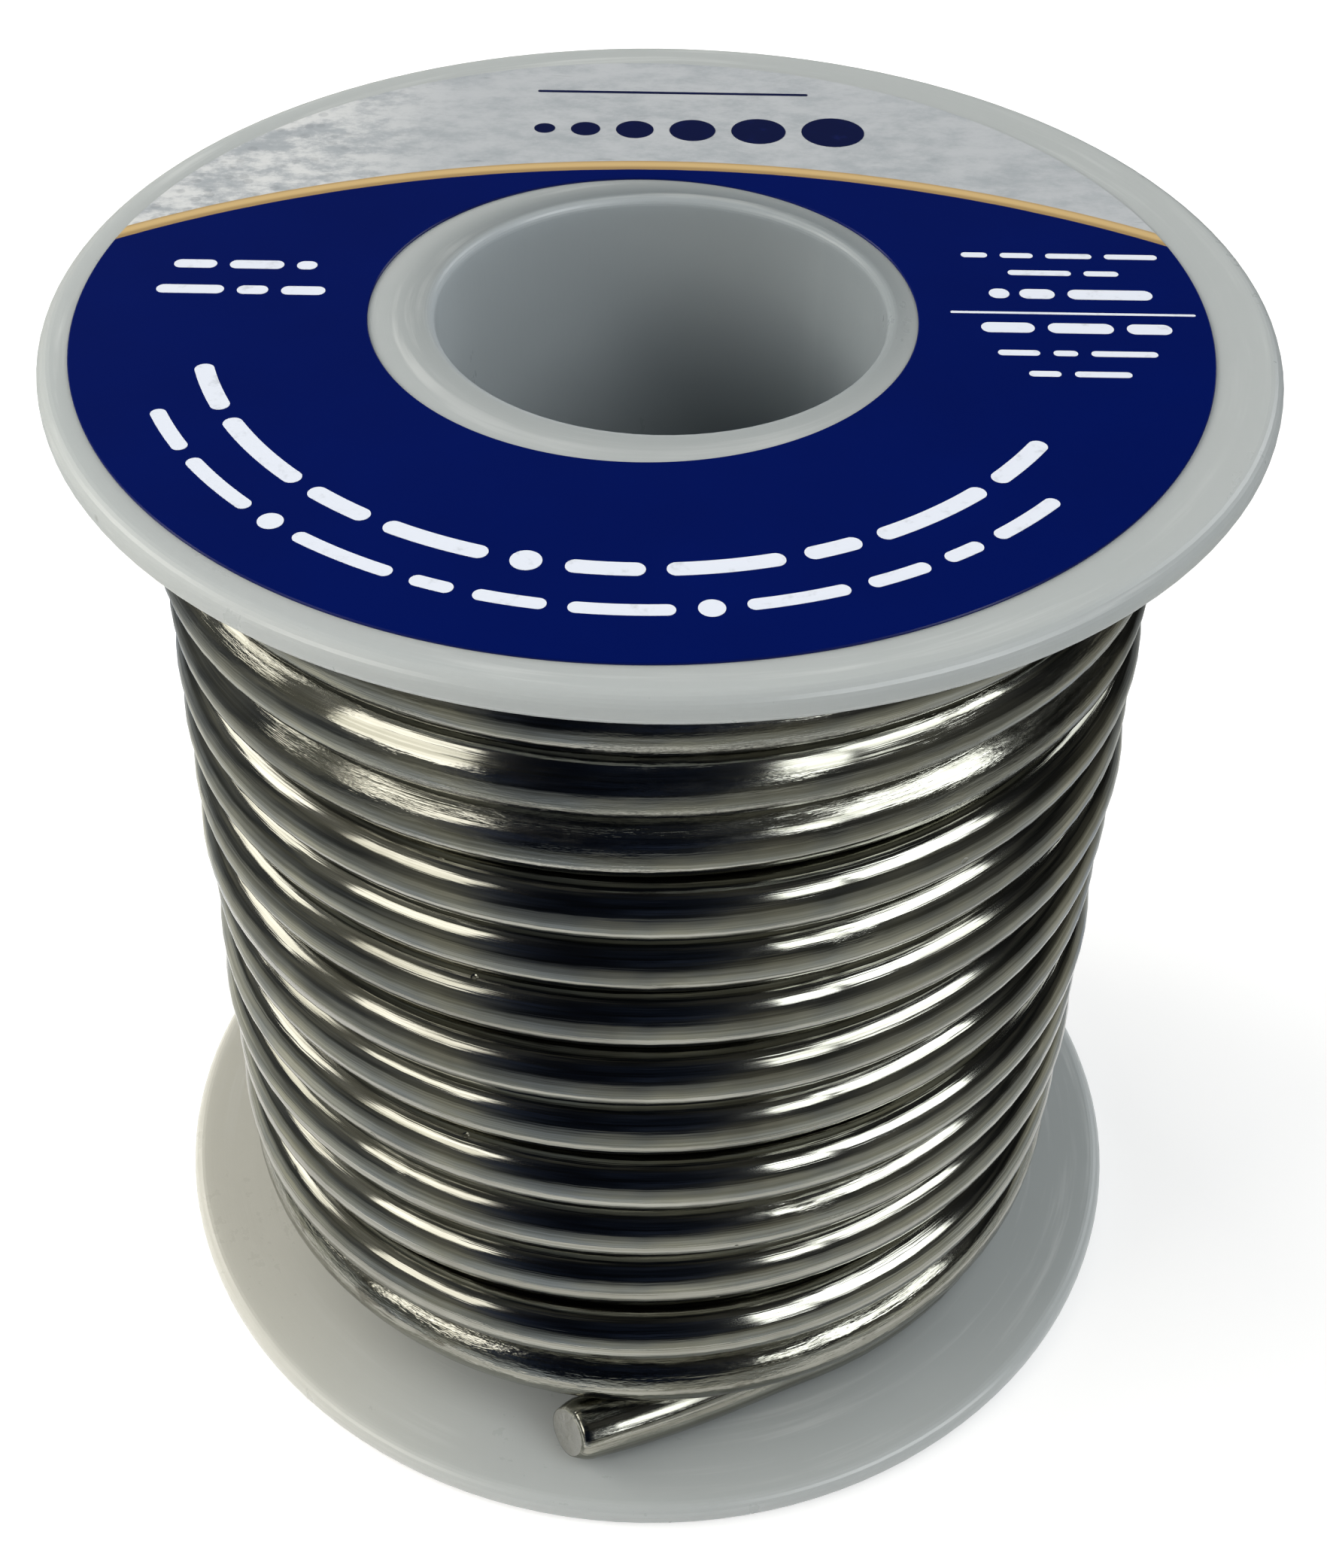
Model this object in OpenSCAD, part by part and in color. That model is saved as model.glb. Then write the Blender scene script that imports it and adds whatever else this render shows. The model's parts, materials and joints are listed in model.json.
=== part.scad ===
// Spool of solder wire: a spool made of two moulded halves, its ring label,
// and one length of thick wire wound in layers, with its cut tail on the lower flange.
// Millimetres. +Z runs up the spool's axis, and the origin is the middle of the underside.

/* [Spool] */
// Diameter of both flanges
flange_d = 52; // [49:0.5:60]
// Height from outer face to outer face
spool_h = 53.7; // [40:0.1:62]
// Thickness of each flange
flange_t = 1.4; // [1:0.1:2.4]
// Diameter of the bore for the bench spindle
bore_d = 19.2; // [17:0.1:20.5]
// Wall of the barrel round the bore
barrel_wall = 1.65; // [1.2:0.05:1.8]
// Rounding of a flange's two rim edges
rim_round = 0.6; // [0.2:0.05:0.9]
// Rounding of the bore's mouths
mouth_round = 0.4; // [0.3:0.1:1.2]
// Fillet where the barrel meets a flange
root_round = 0.5; // [0.2:0.1:0.8]

/* [Barrel joint] */
// How far the spigot goes into the sleeve
lap_l = 5; // [3:0.5:8]
// Radial clearance between spigot and sleeve
lap_clear = 0.05; // [0.03:0.01:0.1]
// Gap left behind the sleeve's end
shoulder_gap = 0.1; // [0.05:0.05:0.3]
// Lead-in on the spigot and in the sleeve
lead_in = 0.25; // [0.1:0.05:0.4]

/* [Label] */
// Thickness of the label
label_t = 0.12; // [0.08:0.01:0.25]
// Bare flange outside the label, before it was stuck off centre
label_margin = 2.13; // [1.6:0.01:4]
// Bare ring between the bore and the label, before it was stuck off centre
label_bore_margin = 2; // [1.85:0.01:3]
// How far the label sits off centre, along X
label_shift_x = -0.76; // [-0.8:0.02:0.8]
// How far the label sits off centre, along Y
label_shift_y = -0.28; // [-0.3:0.02:0.3]

/* [Wire] */
// Diameter of the wire
wire_d = 3.175; // [2.7:0.025:3.4]
// Number of layers wound on the barrel
layers = 4; // [3:1:4]
// Gap between the flat sides of two turns
turn_gap = 0.45; // [0.42:0.01:0.8]
// How much wider the pitch is at the bottom, where the winding has slackened
slack_pitch = 0.95; // [0.9:0.05:1.3]
// Space between the wire and what it lies on or against
wire_clear = 0.05; // [0.03:0.01:0.1]

/* [Tail] */
// Length of the straight tail, from where it leaves its turn
tail_l = 12.3; // [6:0.1:13]
// Azimuth at which the tail leaves its turn
tail_azimuth = -67; // [-180:1:180]
// How much nearer the axis the tail's turn is than the rest
tail_tuck = 1.4; // [0:0.1:1.6]
// Part of a turn that lies flat on the flange before it climbs
tail_lie = 0.15; // [0.05:0.01:0.15]

/* [Hidden] */

$fn = 96;
arc_steps = 6;

// Spool
flange_r = flange_d / 2;
bore_r = bore_d / 2;
barrel_r = bore_r + barrel_wall;
rim_r = min(rim_round, flange_t / 2 - 0.05);
mouth_r = min(mouth_round, flange_t - 0.1);
lap_r = (bore_r + barrel_r) / 2;
lap_low = (spool_h - lap_l) / 2;
lap_high = (spool_h + lap_l) / 2;

// Label
label_r = flange_r - label_margin;
label_hole_r = bore_r + label_bore_margin;

// Wire section: a hexagon with its flats facing the next turns
rings_per_turn = 24;
sides = 6;
wire_r = wire_d / 2;
flat_half = wire_r * cos(180 / sides);

// Winding: the layers nest in each other's grooves
tight_pitch = 2 * flat_half + turn_gap;
slack_power = 1.5;
mean_pitch = tight_pitch + slack_pitch / (slack_power + 1);
layer_rise = sqrt(wire_d * wire_d - mean_pitch * mean_pitch / 4);
turn_r = barrel_r + wire_r + (layers - 1) * layer_rise;
end_rise = tight_pitch * wire_d / (360 / 180 * PI * turn_r);
tail_z = flange_t + wire_clear + flat_half;
top_z = spool_h - flange_t - wire_clear - flat_half - end_rise;
climb_turns = (top_z - tail_z) / mean_pitch;
wound_turns = tail_lie + climb_turns;
tuck_turns = 0.3;
tail_turn_r = turn_r - tail_tuck;
tail_turns = atan(tail_l / tail_turn_r) / 360;

// Core: the inner layers, just clear of the outer turns' straight facets
facet_dip = cos(180 / rings_per_turn);
core_r = (turn_r - wire_r) * facet_dip - wire_clear;
core_step_r = (tail_turn_r - wire_r) * facet_dip - wire_clear;
core_step_z = tail_z + flat_half + turn_gap;
core_bevel = root_round + wire_clear;

// Points of an arc from angle a to angle b
function arc(x, y, r, a, b) =
    [for (i = [0 : arc_steps]) let (t = a + (b - a) * i / arc_steps) [x + r * cos(t), y + r * sin(t)]];

// One half in section, its outer face at zero: flange, mouth, rim, root fillet and barrel wall
function half_section(barrel_end) = concat(
    arc(bore_r + mouth_r, mouth_r, mouth_r, 180, 270),
    arc(flange_r - rim_r, rim_r, rim_r, 270, 360),
    arc(flange_r - rim_r, flange_t - rim_r, rim_r, 0, 90),
    arc(barrel_r + root_round, flange_t + root_round, root_round, 270, 180),
    barrel_end);

// The lower half ends in a spigot, thin and inside
spigot_end = [
    [barrel_r, lap_low],
    [lap_r - lap_clear / 2, lap_low],
    [lap_r - lap_clear / 2, lap_high - lead_in],
    [lap_r - lap_clear / 2 - lead_in, lap_high],
    [bore_r, lap_high]];

// The upper half ends in a sleeve, thin and outside
sleeve_end = [
    [barrel_r, spool_h - lap_low - shoulder_gap],
    [lap_r + lap_clear / 2 + lead_in, spool_h - lap_low - shoulder_gap],
    [lap_r + lap_clear / 2, spool_h - lap_low - shoulder_gap - lead_in],
    [lap_r + lap_clear / 2, spool_h - lap_high],
    [bore_r, spool_h - lap_high]];

module lower_spool_half() {
    color([0.72, 0.75, 0.75])
        rotate_extrude()
            polygon(half_section(spigot_end));
}

module upper_spool_half() {
    color([0.74, 0.77, 0.77])
        translate([0, 0, spool_h])
            mirror([0, 0, 1])
                rotate_extrude()
                    polygon(half_section(sleeve_end));
}

module face_label() {
    color([0.02, 0.07, 0.33])
        translate([label_shift_x, label_shift_y, spool_h])
            difference() {
                cylinder(r = label_r, h = label_t);
                translate([0, 0, -1])
                    cylinder(r = label_hole_r, h = label_t + 2);
            }
}

// The inner layers as one plain core, stepped where the last turn tucks in under the winding
module wire_inner_layers() {
    low = flange_t + wire_clear;
    high = spool_h - flange_t - wire_clear;
    inside = barrel_r + wire_clear;
    color([0.42, 0.42, 0.40])
        rotate_extrude()
            polygon([
                [inside, low + core_bevel],
                [inside + core_bevel, low],
                [core_step_r, low],
                [core_step_r, core_step_z],
                [core_r, core_step_z],
                [core_r, high],
                [inside + core_bevel, high],
                [inside, high - core_bevel]]);
}

// Height climbed after s turns: the pitch tightens from the slack bottom to the top
function climb(s) =
    let (share = max(0, 1 - s / climb_turns))
    tight_pitch * s
        + slack_pitch * climb_turns / (slack_power + 1) * (1 - pow(share, slack_power + 1));

function smooth(x) = let (t = max(0, min(1, x))) t * t * (3 - 2 * t);

// The wire's centre line by turns u counted up from where the tail leaves; the tail has u below zero
function path_r(u) =
    u < 0 ? tail_turn_r / cos(360 * u) : tail_turn_r + tail_tuck * smooth(u / tuck_turns);
function path_z(u) = tail_z + (u < tail_lie ? 0 : climb(u - tail_lie));
function path_point(u) =
    let (a = tail_azimuth + 360 * u)
    [path_r(u) * cos(a), path_r(u) * sin(a), path_z(u)];

// Ring stations: the tail's cut end, whole ring steps, and the last one where the winding ends
tail_steps = floor(tail_turns * rings_per_turn - 0.2);
wound_steps = floor(wound_turns * rings_per_turn - 0.2);
stations = concat(
    [-tail_turns],
    [for (i = [-tail_steps : wound_steps]) i / rings_per_turn],
    [wound_turns]);

// A ring is its centre and the azimuth of its outward side
rings = concat(
    [for (u = stations) [path_point(u), tail_azimuth + 360 * max(0, u)]],
    [straight_end()]);

// Past the last station the wire runs straight for one diameter
function straight_end() =
    let (a = tail_azimuth + 360 * wound_turns)
    [path_point(wound_turns) + wire_d * [-sin(a), cos(a), 0] + [0, 0, end_rise], a];

// Point on a ring's outline, at an angle round the section and a distance from its centre
function on_ring(ring, angle, r) =
    ring[0] + [r * cos(angle) * cos(ring[1]), r * cos(angle) * sin(ring[1]), r * sin(angle)];
function corners(ring) = [for (k = [0 : sides - 1]) on_ring(ring, k * 360 / sides, wire_r)];

// A ring's outline as points along each side, to measure gaps on
samples = 4;
function outline(ring) =
    let (c = corners(ring))
    [for (k = [0 : sides - 1]) for (j = [0 : samples - 1])
        c[k] + (c[(k + 1) % sides] - c[k]) * j / samples];

// Least gap between rings that lie one turn apart
function least_gap() =
    let (lines = [for (ring = rings) outline(ring)])
    min([for (i = [0 : len(rings) - rings_per_turn - 2])
        min([for (p = lines[i]) for (q = lines[i + rings_per_turn]) norm(p - q)])]);

module wire_outer_layer() {
    n = len(rings);
    points = [for (ring = rings) each corners(ring)];
    walls = [for (i = [0 : n - 2]) for (k = [0 : sides - 1])
        let (a = i * sides + k, b = i * sides + (k + 1) % sides)
        each [[a, b, a + sides], [b, b + sides, a + sides]]];
    first_cap = [for (k = [1 : sides - 2]) [0, k + 1, k]];
    last_cap = [for (k = [1 : sides - 2]) let (o = (n - 1) * sides) [o, o + k, o + k + 1]];
    echo(turns = wound_turns, least_gap_mm = least_gap());
    color([0.66, 0.66, 0.63])
        polyhedron(points, concat(walls, first_cap, last_cap));
}

upper_spool_half();
lower_spool_half();
face_label();
wire_inner_layers();
wire_outer_layer();
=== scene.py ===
"""Dresses the solder wire spool: milky mouldings, the wound wire, the printed ring label, and a stage."""

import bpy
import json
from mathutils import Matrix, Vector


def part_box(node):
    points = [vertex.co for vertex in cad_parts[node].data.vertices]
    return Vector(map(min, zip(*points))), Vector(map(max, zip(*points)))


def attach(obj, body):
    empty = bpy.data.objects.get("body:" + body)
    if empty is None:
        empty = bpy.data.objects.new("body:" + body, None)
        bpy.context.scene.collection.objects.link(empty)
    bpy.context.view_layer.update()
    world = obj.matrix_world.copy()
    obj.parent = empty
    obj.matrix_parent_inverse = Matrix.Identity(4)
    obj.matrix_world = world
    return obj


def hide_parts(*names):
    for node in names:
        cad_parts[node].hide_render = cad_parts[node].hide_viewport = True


bl_info = {
    "name": "Solder Wire Spool",
    "version": (1, 0, 0),
    "blender": (4, 5, 0),
    "location": "3D View > Sidebar > Solder Spool",
    "description": "Winds, labels and lights a small spool of thick solder wire",
    "category": "Object",
}

import json
import math

import bpy
import numpy as np
from bpy.props import FloatProperty, FloatVectorProperty, IntProperty, PointerProperty
from mathutils import Matrix, Vector

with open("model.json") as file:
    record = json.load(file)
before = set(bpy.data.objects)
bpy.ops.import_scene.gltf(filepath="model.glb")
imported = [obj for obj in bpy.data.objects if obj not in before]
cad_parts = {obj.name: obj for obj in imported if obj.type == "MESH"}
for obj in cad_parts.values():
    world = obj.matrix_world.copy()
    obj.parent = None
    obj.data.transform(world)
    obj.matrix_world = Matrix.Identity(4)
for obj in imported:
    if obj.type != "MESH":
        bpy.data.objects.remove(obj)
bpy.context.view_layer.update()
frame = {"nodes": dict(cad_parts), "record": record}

MM = 0.001
BODY = "root"
TURN = 2 * math.pi
WHITE = (1.0, 1.0, 1.0)

# The mouldings and the label, as the frame gives them
SPOOL_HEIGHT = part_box("upper_spool_half")[1].z
LABEL_LOW, LABEL_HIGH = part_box("face_label")
LABEL_CENTRE = (LABEL_LOW + LABEL_HIGH) / 2
LABEL_RADIUS = (LABEL_HIGH.x - LABEL_LOW.x) / 2
BORE_RADIUS = frame["record"]["mounts"][0]["dims"]["r_mm"] * MM

# Thicknesses and margins that the frame doesn't list
FLANGE_THICKNESS = 1.4 * MM
BARREL_WALL = 1.65 * MM
BARREL_RADIUS = BORE_RADIUS + BARREL_WALL
LABEL_BORE_MARGIN = 2.0 * MM
LABEL_HOLE_RADIUS = BORE_RADIUS + LABEL_BORE_MARGIN


def screen_colour(red, green, blue):
    """Linear colour of an 8-bit screen colour."""
    linear = []
    for channel in (red, green, blue):
        share = channel / 255
        linear.append(share / 12.92 if share < 0.04045 else ((share + 0.055) / 1.055) ** 2.4)
    return tuple(linear)


# ---- Shading ----


class Signal:
    """A shader socket that can be used in sums, with | for the larger and & for the smaller of two."""

    def __init__(self, shading, socket):
        self.shading = shading
        self.socket = socket

    def maths(self, operation, *operands):
        """A Math node on the given operands, in order."""
        settings = {"operation": operation}
        return self.shading.add("ShaderNodeMath", settings, dict(enumerate(operands)))

    def __add__(self, other):
        return self.maths("ADD", self, other)

    def __radd__(self, other):
        return self.maths("ADD", other, self)

    def __sub__(self, other):
        return self.maths("SUBTRACT", self, other)

    def __rsub__(self, other):
        return self.maths("SUBTRACT", other, self)

    def __mul__(self, other):
        return self.maths("MULTIPLY", self, other)

    def __rmul__(self, other):
        return self.maths("MULTIPLY", other, self)

    def __or__(self, other):
        return self.maths("MAXIMUM", self, other)

    def __and__(self, other):
        return self.maths("MINIMUM", self, other)

    __ror__ = __or__
    __rand__ = __and__

    def root(self):
        """Square root."""
        return self.maths("SQRT", self)

    def ramp(self, low, high, to_low=0.0, to_high=1.0):
        """Smooth step from to_low at low to to_high at high."""
        settings = {"interpolation_type": "SMOOTHSTEP"}
        sockets = {"Value": self, "From Min": low, "From Max": high, "To Min": to_low, "To Max": to_high}
        return self.shading.add("ShaderNodeMapRange", settings, sockets)


class Shading:
    """Builds the nodes of one material or world."""

    def __init__(self, owner):
        owner.use_nodes = True
        self.owner = owner
        self.tree = owner.node_tree
        self.tree.nodes.clear()

    def add(self, kind, settings=None, sockets=None, output=0):
        """Adds a node: its settings first, then the values or links of its sockets. Returns one output."""
        node = self.tree.nodes.new(kind)
        for name, value in (settings or {}).items():
            setattr(node, name, value)
        for name, value in (sockets or {}).items():
            socket = node.inputs[name]
            if isinstance(value, Signal):
                self.tree.links.new(value.socket, socket)
            else:
                socket.default_value = value
        return Signal(self, node.outputs[output]) if len(node.outputs) else None

    def parts(self, vector):
        """The three numbers of a vector signal."""
        first = self.add("ShaderNodeSeparateXYZ", sockets={"Vector": vector})
        return [Signal(self, out) for out in first.socket.node.outputs]

    def place(self):
        """The point on the part, in metres."""
        return self.add("ShaderNodeTexCoord", output="Object")

    def stretch(self, vector, by):
        """A vector or colour times three numbers or a signal."""
        return self.add("ShaderNodeVectorMath", {"operation": "MULTIPLY"}, {0: vector, 1: by})

    def facing(self, way, azimuth, elevation):
        """How far a direction agrees with an azimuth from the front and an elevation, both in degrees."""
        sockets = {0: way, 1: from_front(azimuth, elevation)}
        return self.add("ShaderNodeVectorMath", {"operation": "DOT_PRODUCT"}, sockets, "Value")

    def noise(self, vector, scale, detail=2.0, roughness=0.5):
        """Cloudy noise from 0 to 1."""
        sockets = {"Vector": vector, "Scale": scale, "Detail": detail, "Roughness": roughness}
        return self.add("ShaderNodeTexNoise", sockets=sockets)

    def specks(self, vector, scale, share, size):
        """Small round marks: share is the part of the cells that have one, size its radius in cells."""
        settings = {"feature": "F1"}
        cell = self.add("ShaderNodeTexVoronoi", settings, {"Vector": vector, "Scale": scale})
        colour = Signal(self, cell.socket.node.outputs["Color"])
        chosen = self.parts(colour)[0].ramp(share, share * 0.98)
        return chosen * cell.ramp(size, size * 0.6)

    def blend(self, mask, low, high):
        """A colour that goes from low to high as mask goes from 0 to 1."""
        node = self.add("ShaderNodeMix", {"data_type": "RGBA"}, {"Factor": mask}).socket.node
        for name, value in (("A", opaque(low)), ("B", opaque(high))):
            socket = next(s for s in node.inputs if s.name == name and s.type == "RGBA")
            if isinstance(value, Signal):
                self.tree.links.new(value.socket, socket)
            else:
                socket.default_value = value
        return Signal(self, next(s for s in node.outputs if s.type == "RGBA"))

    def bump(self, height, distance, strength):
        """A normal that follows a height, whose unit stands for a distance."""
        sockets = {"Height": height, "Distance": distance, "Strength": strength}
        return self.add("ShaderNodeBump", sockets=sockets)

    def glow(self, colour):
        """A glow for the stage, which shows in views and mirrors but isn't a lamp."""
        self.owner.cycles.emission_sampling = "NONE"
        return self.add("ShaderNodeEmission", sockets={"Color": colour, "Strength": 1.0})

    def surface(self, **sockets):
        """Ends a material in a Principled shader. Socket names are written with underscores."""
        named = {name.replace("_", " "): value for name, value in sockets.items()}
        shader = self.add("ShaderNodeBsdfPrincipled", sockets=named)
        self.add("ShaderNodeOutputMaterial", sockets={"Surface": shader})
        return self.owner


def from_front(azimuth, elevation):
    """Direction at an azimuth from the front, to the right, and an elevation, both in degrees."""
    a, e = math.radians(azimuth), math.radians(elevation)
    return Vector((math.sin(a) * math.cos(e), -math.cos(a) * math.cos(e), math.sin(e)))


def opaque(colour):
    """A colour with full alpha, or the signal itself."""
    return colour if isinstance(colour, Signal) else (*colour[:3], 1.0)


def new_finish(name):
    """An empty material and its node builder."""
    return Shading(bpy.data.materials.new(name))


def milky_plastic(settings):
    """Natural polyethylene: milky, satin, smeared round its axis, and darker in and round its bore.

    The bore has painted shade, darker towards +X and darker deep inside, where it also stands for the
    wire showing through its thin wall. The ring round it has painted shade towards +Y, and the lower
    flange has painted light, paler and warmer towards -X.
    """
    finish = new_finish("milky_polyethylene")
    place = finish.place()
    x, y, z = finish.parts(place)
    radius = (x * x + y * y).root()

    # Faint clouds, smears that run round the axis, fine scuffs and specks of dirt
    clouds = finish.noise(place, 60, 3)
    turned = finish.add("ShaderNodeCombineXYZ", sockets={"X": x * 60, "Y": y * 60, "Z": radius * 1400})
    smears = finish.noise(turned, 1, 4, 0.6)
    pale_smears = smears.ramp(0.52, 0.7) * clouds.ramp(0.38, 0.62)
    scuffs = finish.noise(finish.stretch(place, (1, 1, 0.3)), 900, 4, 0.7)
    specks = finish.specks(place, 330, 0.02, 0.1)

    # Both flanges, with painted light on the lower one, paler and warmer towards -X
    lower_flange = z.ramp(3 * MM, 2 * MM)
    painted_light_side = x.ramp(-4 * MM, -24 * MM) * lower_flange
    plain = finish.blend(clouds, settings.colour, settings.cloud_colour)
    body = finish.blend(painted_light_side * 0.65, plain, settings.painted_light_colour)

    # The ring of flange round the bore and the bore itself, both with painted shade
    near_bore = radius.ramp(BORE_RADIUS + 2.6 * MM, BORE_RADIUS + 0.3 * MM)
    # Painted shade on the ring round the bore, darker towards +Y
    painted_ring_shade = (x * 0.3 + y).ramp(-1.3 * BORE_RADIUS, 1.3 * BORE_RADIUS, 0.25, 0.68)
    ringed = finish.blend(near_bore * painted_ring_shade, body, settings.painted_shade_colour)
    in_bore = radius.ramp(BORE_RADIUS + 0.5 * MM, BORE_RADIUS + 0.02 * MM)
    # Painted shade in the bore: darker towards +X, and darker deep inside, where it also stands for the
    # wire showing through
    depth = (z & (SPOOL_HEIGHT - z)).ramp(1 * MM, 16 * MM)
    painted_bore_shade = x.ramp(-0.6 * BORE_RADIUS, 0.9 * BORE_RADIUS)
    darkness = painted_bore_shade * (depth * 0.5 + 0.5) | depth * 0.12
    bore = finish.blend(darkness, settings.bore_colour, settings.painted_shade_colour)
    shaded = finish.blend(in_bore, ringed, bore)
    smeared = finish.blend(pale_smears * 0.45, shaded, settings.smear_colour)

    return finish.surface(
        Base_Color=finish.blend(specks * 0.5, smeared, settings.speck_colour),
        Roughness=(clouds * 0.08 + scuffs * 0.1 + smears * 0.08 + 0.17),
        Subsurface_Weight=settings.milkiness,
        Subsurface_Radius=(1.0, 1.0, 1.0),
        Subsurface_Scale=2.5 * MM,
        Normal=finish.bump(smears * 0.6 + scuffs * 0.4, 0.035 * MM, 0.6),
    )


def bright_solder(settings):
    """Drawn tin-lead wire: bright, with fine lines along it, scuffed patches, dents and dull oxide."""
    finish = new_finish("bright_solder")
    strand = finish.add("ShaderNodeAttribute", {"attribute_name": "strand"}, output="Vector")
    place = finish.place()
    along = finish.parts(strand)[0]
    z = finish.parts(place)[2]

    # Noises drawn out along the wire, from its fine lines to its slow unevenness
    lines = finish.noise(finish.stretch(strand, (45, 5200, 5200)), 1, 3, 0.6)
    streaks = finish.noise(finish.stretch(strand, (150, 1500, 1500)), 1, 3, 0.6)
    ragged = finish.noise(finish.stretch(strand, (420, 2700, 2700)), 1, 4, 0.7)
    dents = finish.noise(finish.stretch(strand, (260, 1000, 1000)), 1, 4, 0.65)
    patches = finish.noise(finish.stretch(strand, (105, 300, 300)), 1, 3, 0.6)
    waver = finish.noise(finish.stretch(strand, (75, 240, 240)), 1, 2, 0.5)
    dull = finish.noise(place, 130, 4, 0.6).ramp(0.42, 0.75)
    pits = finish.specks(strand, 900, 0.02, 0.16)

    # The top and bottom turns are worn most, and the bottom one is dented, but not its tail
    upper_turns = z.ramp(40.5 * MM, 43 * MM)
    lower_turns = z.ramp(11 * MM, 6 * MM)
    handled = (upper_turns | lower_turns) * along.ramp(2 * MM, 22 * MM, 0.5, 1)
    bottom = z.ramp(8.5 * MM, 6.5 * MM) * along.ramp(14 * MM, 22 * MM)
    worn = patches.ramp(0.62, 0.74) | handled * patches.ramp(0.36, 0.58)

    clean = finish.blend(lines.ramp(0.3, 0.7), settings.colour, settings.dark_colour)
    grime = worn * ragged.ramp(0.5, 0.7) * 0.6 | bottom * dents.ramp(0.56, 0.66) * 0.9
    aged = finish.blend(dull * 0.5 | grime, clean, settings.oxide_colour)
    drawn = waver * 2.2 + lines * 0.35 + streaks * 0.4
    height = drawn + worn * ragged * 1.2 + bottom * dents * 2.2 - pits * 0.8
    brushed = worn * (1 - bottom) * ragged.ramp(0.35, 0.7)
    return finish.surface(
        Base_Color=aged,
        Metallic=1.0,
        Roughness=(brushed * 0.16 + dull * 0.04 + lines * 0.08 + 0.06),
        Normal=finish.bump(height, 0.045 * MM, 0.8),
    )


def cut_solder(settings):
    """The cut end of the wire: torn and matt, without the drawn polish."""
    finish = new_finish("cut_solder")
    place = finish.place()
    grain = finish.noise(place, 2600, 4, 0.65)
    torn = finish.noise(place, 900, 2)
    return finish.surface(
        Base_Color=finish.blend(grain, settings.cut_colour, settings.colour),
        Metallic=0.85,
        Roughness=(grain * 0.2 + 0.42),
        Normal=finish.bump(grain + torn, 0.12 * MM, 0.9),
    )


def printed_label(settings):
    """The label's face: a deep blue field, a gold line on a large arc, and a silver panel beyond it."""
    finish = new_finish("printed_label")
    place = finish.place()
    x, y = finish.parts(place)[:2]
    from_x = x - settings.line_centre[0]
    from_y = y - settings.line_centre[1]
    beyond = (from_x * from_x + from_y * from_y).root() - settings.line_radius

    # The print's edges are a little soft, and wander a little
    soft = 0.03 * MM
    wander = (finish.noise(place, 900, 2) - 0.5) * (0.05 * MM)
    in_gold = (beyond + wander).ramp(-soft, soft)
    in_silver = (beyond + wander).ramp(settings.line_width - soft, settings.line_width + soft)

    clouds = finish.noise(place, 110, 4, 0.6)
    creases = finish.noise(finish.stretch(place, (1, 1.6, 1)), 420, 6, 0.75)
    fine = finish.noise(place, 2600, 3, 0.7)
    blisters = finish.specks(place, 1400, 0.45, 0.42)
    left_end = x.ramp(-9 * MM, -18 * MM)
    scratches = finish.noise(finish.stretch(place, (260, 2400, 1)), 1, 3, 0.7).ramp(0.66, 0.74)

    blue = finish.blend(clouds, settings.blue, settings.blue_deep)
    nicks = finish.specks(place, 260, 0.012, 0.09)
    blue_worn = finish.blend(nicks, blue, settings.silver)

    gold_middle = beyond.ramp(0.15 * MM, 0.45 * MM) * beyond.ramp(0.95 * MM, 0.6 * MM)
    gold = finish.blend(gold_middle, settings.gold_edge, settings.gold)

    # Painted shade where the panel is creased
    creased = finish.blend(creases.ramp(0.35, 0.7), settings.silver, settings.silver_shade)
    # Painted light on the panel's left end, away from its creases
    silver = finish.blend(left_end * creases.ramp(0.6, 0.4) * 0.8, creased, settings.silver_painted_light)
    marked = scratches * 0.5 + blisters * left_end * 0.3
    silver_marked = finish.blend(marked, silver, settings.silver_mark)
    line_and_field = finish.blend(in_gold, blue_worn, gold)
    face = finish.blend(in_silver, line_and_field, silver_marked)

    crinkle = creases * 0.6 + fine * 0.2 + blisters * left_end * 0.6
    height = crinkle * in_silver + fine * 0.12 * (1 - in_silver) + in_gold * 0.5
    return finish.surface(
        Base_Color=face,
        Roughness=(in_silver * 0.16 + clouds * 0.06 + fine * 0.04 + 0.16),
        Specular_IOR_Level=0.2,
        Normal=finish.bump(height, 0.02 * MM, 0.8),
    )


def print_ink(name, colour, worn):
    """Ink of the printed marks, thin in places."""
    finish = new_finish(name)
    place = finish.place()
    thin = finish.noise(place, 1500, 3, 0.6).ramp(0.55, 0.8)
    return finish.surface(
        Base_Color=finish.blend(thin * 0.5, colour, worn),
        Roughness=(thin * 0.15 + 0.35),
        Normal=finish.bump(finish.noise(place, 4000, 2), 0.004 * MM, 0.5),
    )


# ---- Mesh making ----


def new_object(name, points, faces, materials):
    """A mesh object in the scene."""
    mesh = bpy.data.meshes.new(name)
    mesh.from_pydata(points, [], faces)
    for material in materials:
        mesh.materials.append(material)
    thing = bpy.data.objects.new(name, mesh)
    bpy.context.scene.collection.objects.link(thing)
    return thing


def new_piece(name, points, faces, materials, slot, face_finish=None):
    """A piece that rides on the spool's only body, smooth except over its sharp edges."""
    piece = new_object(name, points, faces, materials)
    mesh = piece.data
    if face_finish is not None:
        mesh.polygons.foreach_set("material_index", face_finish)
    mesh.polygons.foreach_set("use_smooth", [True] * len(mesh.polygons))
    mesh.update()
    mesh.set_sharp_from_angle(angle=math.radians(40))
    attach(piece, BODY)
    return piece


def smooth_share(values):
    """Smooth step of numbers, held between 0 and 1."""
    held = np.clip(values, 0, 1)
    return held * held * (3 - 2 * held)


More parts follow.
